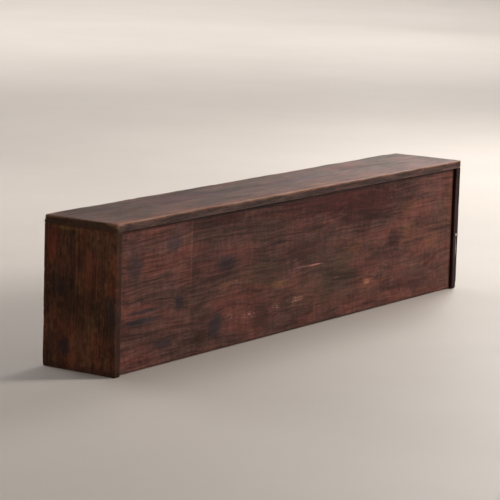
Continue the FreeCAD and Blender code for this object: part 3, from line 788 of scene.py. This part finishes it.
RECESS_SHADE_REACH = (0.003, 0.007, ENDLESS)
END_MARKS += [
    # Painted shade on the inner face of each end board, between its front edge and the set-back front plank.
    ((0.886, -0.118, 0.2), RECESS_SHADE_REACH, 0.05, 0.97, BLACK_GRIME_AND_SHADE),
    ((-0.886, -0.118, 0.2), RECESS_SHADE_REACH, 0.05, 0.97, BLACK_GRIME_AND_SHADE),
    ((0.8985, -0.127, 0.2), (0.02, 0.01, ENDLESS), 0.1, 0.85, (0.022, 0.0155, 0.0175, 1)),
    ((-0.889, -0.125, CHIP_HEIGHT), (0.007, 0.01, 0.008), 0.2, 0.9, BLACK_GRIME_AND_SHADE),
    # A near-white fleck on the right board's front edge, and a pale streak below it.
    ((0.8985, -0.125, 0.178), (0.0035, 0.01, 0.006), 0.1, 0.95, (0.75, 0.7, 0.66, 1)),
    ((0.8985, -0.125, 0.135), (0.002, 0.01, 0.035), 0.3, 0.45, (0.45, 0.4, 0.38, 1)),
]
print("stains on the end boards:", len(END_MARKS))

# %% [markdown]
# ## Dark lines along the joints of the moving fronts
#
# Each drawer front, door board and batten is darkened in a narrow band along its edges, beside the gap round
# it. The model knows where each board ends, so these marks run along the four edges of its box. Fronts that
# share an edge share a line.

# %% Dark lines along the joints
JOINT_RAGGED = 0.12
FRONTS_Y = 0.12


def joint_lines(members, reach, strength):
    """Dark lines along the four edges of each named board."""
    corners = [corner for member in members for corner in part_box(member)]
    at_x, at_z = (sorted({round(corner[axis], 3) for corner in corners}) for axis in (0, 2))
    lines = [((x, FRONTS_Y, 0.2), (reach, ENDLESS, ENDLESS)) for x in at_x]
    lines += [((0.0, FRONTS_Y, z), (ENDLESS, ENDLESS, reach)) for z in at_z]
    return [(centre, reaches, JOINT_RAGGED, strength, BLACK_GRIME_AND_SHADE) for centre, reaches in lines]


drawer_fronts = [name for name in nodes if name.startswith("drawer_") and name.endswith("_front")]
door_boards = [name for name in nodes if name.startswith("door_") and name.endswith("_board")]
door_battens = [name for name in nodes if name.startswith("door_") and "batten" in name]
drawer_lines = joint_lines(drawer_fronts, reach=0.0055, strength=0.8)
door_lines = joint_lines(door_boards, reach=0.0055, strength=0.8)
batten_lines = joint_lines(door_battens, reach=0.004, strength=0.7)
print("joint lines:", len(drawer_lines), len(door_lines), len(batten_lines))

# %% [markdown]
# ## Finishes of the outer planks
#
# The front plank is lighter on the left of a faint line across it, and a little darker at its right
# end. The top has lost most of its red and gone grey brown. The end boards have upright grain and
# a stronger mottle.

# %% Finishes of the outer planks
RAW_WOOD = ((0.3, 0.175, 0.095, 1), (0.17, 0.088, 0.045, 1))
FRONT_ZONES = ((-0.556, (1.38, 1.34, 1.32, 1), (1.07, 1.05, 1.05, 1)),
               (0.56, (0.9, 0.9, 0.9, 1), (0.92, 0.94, 0.94, 1)))

front_finish = plank_finish(
    "front_plank", "x", early=RED_BROWN, late=DARK_RED, grime=SOOT, rub=ORANGE_RUB, ring=0.013,
    ring_strength=0.55, contrast=0.31, stripe=0.16, mottle=0.3, grime_cover=0.34, grime_strength=0.5,
    smear=0.17, rub_amount=0.5, gloss=0.05, marks=FRONT_MARKS, zones=FRONT_ZONES,
    raw=(-0.1075, 1.0, *RAW_WOOD))
top_finish = plank_finish(
    "top_plank", "x", early=(0.166, 0.091, 0.074, 1), late=(0.078, 0.043, 0.037, 1),
    grime=(0.11, 0.072, 0.064, 1), rub=(0.26, 0.13, 0.082, 1), heart=(0, 0.0, -0.15), seed=1.7,
    ring_strength=0.6, contrast=0.36, stripe=0.2, mottle=0.3, cloud_stretch=0.16, grime_strength=0.6,
    smear=0.1, rub_amount=0.6, roughness=(0.45, 0.6), gloss=0.15, marks=TOP_MARKS,
    edge_colour=(0.027, 0.014, 0.012, 1))
end_finish = plank_finish(
    "end_plank", "z", early=(0.1, 0.036, 0.0185, 1), late=(0.032, 0.011, 0.006, 1),
    grime=(0.026, 0.018, 0.011, 1), rub=(0.14, 0.062, 0.04, 1), heart=(0, 0.09, 0.0), seed=3.1,
    ring_strength=0.38, contrast=0.26, stripe=0.12, mottle=0.34, cloud_scale=11.0, grime_cover=0.47,
    grime_strength=0.55, smear=0.26, marks=END_MARKS, edge_colour=(0.03, 0.015, 0.013, 1))

# %% [markdown]
# ## Finishes of the inner boards
#
# The carcass, the doors and the drawer fronts are stained like the outside. The inner side of the
# carcass and of the drawer fronts was out of reach of the brush, so there the wood is raw. The
# drawer boxes are pale softwood. Boards of one kind share a finish, and the seed moves the figure,
# so that no two kinds show the same piece of it.

# %% Finishes of the inner boards
STAINED = {"early": (0.105, 0.037, 0.024, 1), "late": (0.024, 0.009, 0.008, 1), "grime": SOOT,
           "rub": ORANGE_RUB, "ring_strength": 0.64, "contrast": 0.38, "stripe": 0.22, "mottle": 0.28,
           "cloud_stretch": 0.4, "grime_cover": 0.34, "grime_strength": 0.55, "smear": 0.15}
BOX_WOOD = {"early": (0.36, 0.225, 0.13, 1), "late": (0.2, 0.112, 0.058, 1),
            "grime": (0.13, 0.08, 0.05, 1), "rub": (0.42, 0.29, 0.19, 1), "ring_strength": 0.7,
            "contrast": 0.34, "stripe": 0.2, "mottle": 0.16, "cloud_stretch": 0.4, "grime_cover": 0.22,
            "grime_strength": 0.35, "smear": 0.08}
CARCASS_RAW = (-1.0, 0.095, *RAW_WOOD)
DRAWER_RAW = (-1.0, 0.1125, *RAW_WOOD)

carcass_finish = plank_finish("carcass_wood", "x", seed=5.3, raw=CARCASS_RAW, **STAINED)
upright_finish = plank_finish("carcass_upright", "z", seed=6.1, raw=CARCASS_RAW, **STAINED)
base_finish = plank_finish("base_wood", "y", seed=4.4, **STAINED)
door_finish = plank_finish("door_wood", "x", seed=7.9, marks=door_lines, **STAINED)
batten_finish = plank_finish("door_batten", "z", seed=8.4, marks=batten_lines, **STAINED)
drawer_finish = plank_finish("drawer_front_wood", "x", seed=9.2, marks=drawer_lines, raw=DRAWER_RAW,
                             **STAINED)
box_finish = plank_finish("drawer_box_wood", "y", seed=10.6, **BOX_WOOD)
box_cross_finish = plank_finish("drawer_box_cross", "x", seed=11.3, **BOX_WOOD)
peg_finish = plank_finish("peg_wood", "x", seed=12.0, early=(0.3, 0.18, 0.09, 1), late=(0.18, 0.1, 0.05, 1),
                          grime=SOOT, rub=ORANGE_RUB)

# %% [markdown]
# ## Iron of the pulls
#
# The pulls are wrought iron, blackened in fire and a little rusted since. Iron is a metal and rust
# isn't, so where rust shows, the metallic value falls as the colour warms.

# %% Iron of the pulls
BLACK_IRON = (0.028, 0.026, 0.025, 1)
RUST = (0.085, 0.042, 0.024, 1)
RUST_STRENGTH = 0.7

pull_finish, shader, place = new_material("pull_iron")
clouds = noise_at(place, scale=90.0, detail=5.0, roughness=0.6)
pits = noise_at(place, scale=900.0, roughness=0.6)
rust = between(clouds, 0.55, 0.75)
feed(shader.inputs["Base Color"], blend_colours(product(rust, RUST_STRENGTH), BLACK_IRON, RUST))
feed(shader.inputs["Metallic"], between(rust, 0.0, 1.0, 0.9, 0.35))
feed(shader.inputs["Roughness"], between(clouds, 0.3, 0.8, 0.38, 0.75))
set_bump(shader, total(clouds, pits), 0.4, 0.0004)
print("pull_iron:", len(pull_finish.node_tree.nodes), "nodes")

# %% [markdown]
# ## The floor
#
# A pale painted floor, faintly uneven and with a few specks, so that nothing on it competes with the piece.
# It isn't part of the object.

# %% Paint of the floor
PAINT = (0.575, 0.522, 0.477, 1)
WORN_PAINT = (0.595, 0.543, 0.498, 1)
SPECK = (0.25, 0.2, 0.17, 1)

floor_finish, shader, place = new_material("painted_floor")
shader.inputs["Specular IOR Level"].default_value = 0.2
clouds = noise_at(place, scale=1.1, detail=5.0, roughness=0.6)
specks = noise_at(place, scale=60.0, roughness=0.6)
sheen = noise_at(place, scale=3.0, detail=4.0, roughness=0.6)
paint = blend_colours(between(clouds, 0.35, 0.7), PAINT, WORN_PAINT)
paint = blend_colours(between(specks, 0.68, 0.8, 0.0, 0.35), paint, SPECK)
feed(shader.inputs["Base Color"], paint)
feed(shader.inputs["Roughness"], from_noise(sheen, 0.5, 0.55))
print("painted_floor:", len(floor_finish.node_tree.nodes), "nodes")

# %% Floor
FLOOR_REACH = 40.0

bm = bmesh.new()
bmesh.ops.create_grid(bm, x_segments=2, y_segments=2, size=FLOOR_REACH)
floor = new_object(bm, "floor", floor_finish)
print(f"floor: {2 * FLOOR_REACH:.0f} m square")

# %% [markdown]
# ## Planks with worn edges
#
# A bevel rounds an edge evenly, and no edge of an old plank is even. So each outer plank starts as a
# cube of the model's size and is cut into a grid, closer near its edges. The points near an edge
# are drawn in to an arris whose rounding changes along the plank. Low ridges follow the grain.
# Nothing moves outwards, so the plank stays in its place in the model. Points carry two values for
# the finish: arris, where the plank is rubbed, and narrow, on the faces that show its thickness.

# %% Cut a block into a grid
EDGE_STEPS = (0.0012, 0.0026, 0.0045, 0.0075, 0.012)
CLEAR_OF_EDGES = EDGE_STEPS[-1] * 1.3
THINNEST_CELL = 0.0004


def stations(low, high, step):
    """Cutting planes between two faces of a plank: close near the faces and even between."""
    count = max(1, round((high - low) / step))
    even = [low + (high - low) * number / count for number in range(1, count)]
    inner = [cut for cut in even if low + CLEAR_OF_EDGES < cut < high - CLEAR_OF_EDGES]
    near = [low + gap for gap in EDGE_STEPS] + [high - gap for gap in EDGE_STEPS]
    cuts = (round(cut, 6) for cut in near + inner if low + THINNEST_CELL < cut < high - THINNEST_CELL)
    return sorted(set(cuts))


def gridded_block(low, high, steps):
    """A block between two corners, cut across each axis at its stations."""
    bm = bmesh.new()
    bmesh.ops.create_cube(bm, size=1.0)
    bmesh.ops.scale(bm, verts=bm.verts, vec=high - low)
    bmesh.ops.translate(bm, verts=bm.verts, vec=(low + high) / 2)
    for axis, step in enumerate(steps):
        normal = Vector([1.0 if axis == other else 0.0 for other in range(3)])
        for cut in stations(low[axis], high[axis], step):
            bmesh.ops.bisect_plane(bm, geom=bm.verts[:] + bm.edges[:] + bm.faces[:], dist=1e-6,
                                   plane_co=normal * cut, plane_no=normal)
    return bm


print("cuts near an edge, in mm:", [round(step * 1000, 1) for step in EDGE_STEPS])

# %% Wear the block down
RUB_WIDTH = 1.4
RIDGES_FADE = 0.004
ON_A_FACE = 1e-5


def wear_down(bm, low, high, wear, ridges, rub_below):
    """Rounds the arrises by wear, presses ridges into the faces, and notes arris and narrow."""
    arris = bm.verts.layers.float.new("arris")
    narrow = bm.verts.layers.float.new("narrow")
    thin = min(range(3), key=lambda axis: high[axis] - low[axis])
    for vert in bm.verts:
        start = vert.co.copy()
        gaps = sorted(min(start[axis] - low[axis], high[axis] - start[axis]) for axis in range(3))
        radius = wear(start, low, high)
        kept = Vector([min(max(start[axis], low[axis] + radius), high[axis] - radius) for axis in range(3)])
        out = start - kept
        if out.length > radius:
            vert.co = kept + out.normalized() * radius
        vert[arris] = max(0.0, 1.0 - gaps[1] / (radius * RUB_WIDTH))
        if start.z < (low.z + high.z) / 2:
            vert[arris] *= rub_below
        from_face = min(start[thin] - low[thin], high[thin] - start[thin])
        vert[narrow] = 1.0 if gaps[0] < ON_A_FACE and from_face > radius * 0.5 else 0.0
        vert.co += ridges(start, low, high) * min(1.0, gaps[1] / RIDGES_FADE)
    bmesh.ops.recalc_face_normals(bm, faces=bm.faces)


print("ridges fade out over", RIDGES_FADE, "m at an edge")

# %% Plank builder
def make_plank(name, node, finish, steps, wear, ridges, rub_below=1.0):
    """Builds a worn plank in a node's place, on the carcass. Steps are the grid's cells in metres."""
    low, high = (Vector(corner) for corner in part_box(node))
    bm = gridded_block(low, high, steps)
    wear_down(bm, low, high, wear, ridges, rub_below)
    piece = new_object(bm, name, finish)
    piece.data.shade_smooth()
    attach(piece, "carcass")
    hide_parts(node)
    print(f"{name}: {len(piece.data.polygons)} faces")
    return piece


def inward(point, low, high, axis, depth):
    """A push into the plank from whichever of its two faces the point lies on."""
    push = Vector((0, 0, 0))
    if abs(point[axis] - low[axis]) < ON_A_FACE:
        push[axis] = depth
    elif abs(point[axis] - high[axis]) < ON_A_FACE:
        push[axis] = -depth
    return push


def noise_of(*place):
    """Blender's smooth noise at a place, from about -1 to 1."""
    return noise.noise(Vector(place))


print("a noise at a place:", round(noise_of(0.3, 0.7, 1.1), 3))

# %% [markdown]
# ## Front plank
#
# The front plank is set back behind the boards round it, so its edges never wore. It only needs
# shallow ridges along the grain and a slow hollow.

# %% Front plank
def front_ridges(point, low, high):
    grain = noise_of(point.x * 5.0, 0.0, point.z * 150.0)
    broad = noise_of(point.x * 1.5 + 7.0, 3.0, point.z * 6.0)
    return inward(point, low, high, 1, 0.0004 + 0.0003 * grain + 0.0004 * abs(broad))


FRONT_ROUNDING = 0.0015
front = make_plank("worn_front_plank", "front_panel", front_finish, (0.02, 0.02, 0.0035),
                   lambda point, low, high: FRONT_ROUNDING, front_ridges)

# %% [markdown]
# ## Top plank
#
# Hands, cloths and knocks wear the top most of all. The rounding of its upper arris wanders, with
# small chips, and the corners at the left end are the roundest. The lower arris is out of reach, so
# it is hardly worn and hardly rubbed.

# %% Top plank
TOP_WEAR_FRONT = 0.0095
TOP_WEAR_BACK = 0.006
CORNER_REACH = 0.045
DEEPEST_CHIP = 0.003
LEAST_ROUNDING = 0.0012
MOST_ROUNDING = 0.011


def chips(point, seed):
    """Small knocks along an arris: none in most places, deepest where the noise peaks."""
    knock = noise_of(point.x * 38.0 + seed, point.y * 38.0, point.z * 38.0)
    return DEEPEST_CHIP * max(0.0, knock - 0.3) / 0.4


def top_wear(point, low, high):
    wavy = noise_of(point.x * 7.0, point.y * 9.0, 2.0)
    ripple = noise_of(point.x * 21.0, point.y * 12.0, 5.0)
    if point.z < (low.z + high.z) / 2:
        radius = LEAST_ROUNDING + 0.0012 * abs(ripple) + chips(point, 8.0)
        return min(radius, MOST_ROUNDING)
    radius = 0.0045 + 0.004 * wavy + 0.0022 * ripple + chips(point, 4.0)
    for corner_y, worn in ((low.y, TOP_WEAR_FRONT), (high.y, TOP_WEAR_BACK)):
        from_corner = Vector((point.x - low.x, point.y - corner_y)).length
        nearness = max(0.0, 1.0 - from_corner / CORNER_REACH)
        radius += (worn - radius) * min(1.0, 2.0 * nearness)
    return min(max(LEAST_ROUNDING, radius), MOST_ROUNDING)


def top_ridges(point, low, high):
    grain = noise_of(point.x * 4.0, point.y * 120.0, 1.0)
    broad = noise_of(point.x * 2.0, point.y * 7.0, 9.0)
    side = noise_of(point.x * 22.0, 4.0, point.z * 160.0)
    return (inward(point, low, high, 2, 0.0003 + 0.0002 * grain + 0.0005 * abs(broad))
            + inward(point, low, high, 1, 0.0006 + 0.0005 * side))


top = make_plank("worn_top_plank", "top_board", top_finish, (0.008, 0.005, 0.02), top_wear, top_ridges,
                 rub_below=0.15)

# %% [markdown]
# ## End planks
#
# The end boards stand on the floor, so their feet are bruised and rounder than the rest, the right
# one more than the left. One chip is broken out of the left board's front edge, at half height.

# %% End planks
CHIP_HALF_HEIGHT = 0.008
CHIP_DEPTH = 0.0035
FOOT_HEIGHT = 0.02
FOOT_WEAR = 0.003


def end_wear(point, low, high):
    wavy = noise_of(3.0, point.y * 12.0, point.z * 11.0)
    radius = 0.0028 + 0.0014 * wavy + chips(point, low.x)
    if low.x < 0 and point.y < 0:
        radius += CHIP_DEPTH * max(0.0, 1.0 - abs(point.z - CHIP_HEIGHT) / CHIP_HALF_HEIGHT)
    if point.z < FOOT_HEIGHT:
        radius += FOOT_WEAR * (1 if low.x > 0 else 0.3)
    return radius


def end_ridges(point, low, high):
    grain = noise_of(low.x, point.y * 140.0, point.z * 4.0)
    return inward(point, low, high, 0, 0.0003 + 0.0002 * grain)


for side in ("left", "right"):
    end = make_plank(f"worn_end_{side}", f"end_board_{side}", end_finish, (0.02, 0.005, 0.006),
                     end_wear, end_ridges)

# %% [markdown]
# ## Boards with eased edges
#
# A joiner never leaves an edge sharp: one stroke of the plane eases it. The model's other boards
# already have their grooves, holes and rebates. So each one is copied, merged into clean faces and
# given a narrow bevel along its long outer edges. The bevel carries the arris value.

# %% Body, slot and finish of each board
groups = frame["record"]["behaviour"]["bodies"]
body_of_node = {member: body for body, members in groups.items() for member in members}
RULES = (("pull", "pull_iron", pull_finish), ("bail", "pull_iron", pull_finish),
         ("peg", "peg_wood", peg_finish), ("dowel", "peg_wood", peg_finish),
         ("door_track", "track_wood", carcass_finish), ("batten_outer", "door_wood", batten_finish),
         ("batten_inner", "door_wood", batten_finish), ("door_", "door_wood", door_finish),
         ("_front", "drawer_front_wood", drawer_finish), ("_side_", "drawer_box_wood", box_finish),
         ("_back", "drawer_box_wood", box_cross_finish), ("_bottom", "drawer_box_wood", box_cross_finish),
         ("partition", "carcass_wood", upright_finish), ("base_batten", "carcass_wood", base_finish),
         ("", "carcass_wood", carcass_finish))


def rule_for(name):
    """The first rule whose words are in the name."""
    return next(rule for rule in RULES if rule[0] in name)


def slot_for(name):
    return rule_for(name)[1]


def finish_for(name):
    return rule_for(name)[2]


print("slots in use:", sorted({slot_for(name) for name in nodes}))

# %% Copies of the model's boards
MERGE_WITHIN = 1e-5
FLAT_WITHIN = math.radians(0.5)


def merged_copy(node):
    """The node's mesh as a bmesh with its doubles merged."""
    bm = bmesh.new()
    bm.from_mesh(nodes[node].data)
    bmesh.ops.remove_doubles(bm, verts=bm.verts, dist=MERGE_WITHIN)
    return bm


def stand_in(bm, name, node):
    """Puts the finished mesh in the node's place, on the node's body, in the node's finish."""
    piece = new_object(bm, name, finish_for(node))
    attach(piece, body_of_node[node])
    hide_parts(node)
    return len(piece.data.polygons)


def eased_board(node, width):
    """Bevels the long outer edges of a copy of the node."""
    bm = merged_copy(node)
    bmesh.ops.dissolve_limit(bm, angle_limit=FLAT_WITHIN, verts=bm.verts, edges=bm.edges)
    long_edges = [edge for edge in bm.edges if edge.is_manifold and edge.is_convex
                  and edge.calc_length() > 8 * width and edge.calc_face_angle() > math.radians(60)]
    made = bmesh.ops.bevel(bm, geom=long_edges, offset=width, offset_type="OFFSET", segments=2, profile=0.5,
                           affect="EDGES", material=-1, clamp_overlap=True)
    arris = bm.loops.layers.float.new("arris")
    for face in made["faces"]:
        face.smooth = True
        for loop in face.loops:
            loop[arris] = 1.0
    return stand_in(bm, f"eased_{node}", node)


print("faces within half a degree of flat become one face")

# %% Ease the boards
DRAWER_EASE = 0.0006
BOARD_EASE = 0.0009

worn_nodes = ("front_panel", "top_board", "end_board_left", "end_board_right")
round_nodes = [name for name in sorted(nodes) if slot_for(name) in ("pull_iron", "peg_wood")]
boards = [name for name in sorted(nodes) if name not in round_nodes and name not in worn_nodes]
faces = sum(eased_board(name, DRAWER_EASE if "drawer" in name else BOARD_EASE) for name in boards)
print("eased", len(boards), "boards,", faces, "faces")

# %% [markdown]
# ## Iron and pegs
#
# The drop handles, their posts, the sunk door cups and the wooden pegs are round work. The model
# has their true shapes in small flat faces. They are copied, merged, and shaded smooth wherever two
# faces meet at less than forty degrees, so rims stay crisp and rounds look round.

# %% Smooth copies of the round pieces
SMOOTH_BELOW = math.radians(40)

for name in round_nodes:
    bm = merged_copy(name)
    for face in bm.faces:
        face.smooth = True
    for edge in bm.edges:
        edge.smooth = edge.is_manifold and edge.calc_face_angle() < SMOOTH_BELOW
    stand_in(bm, f"smooth_{name}", name)
print("smoothed", len(round_nodes), "pieces")
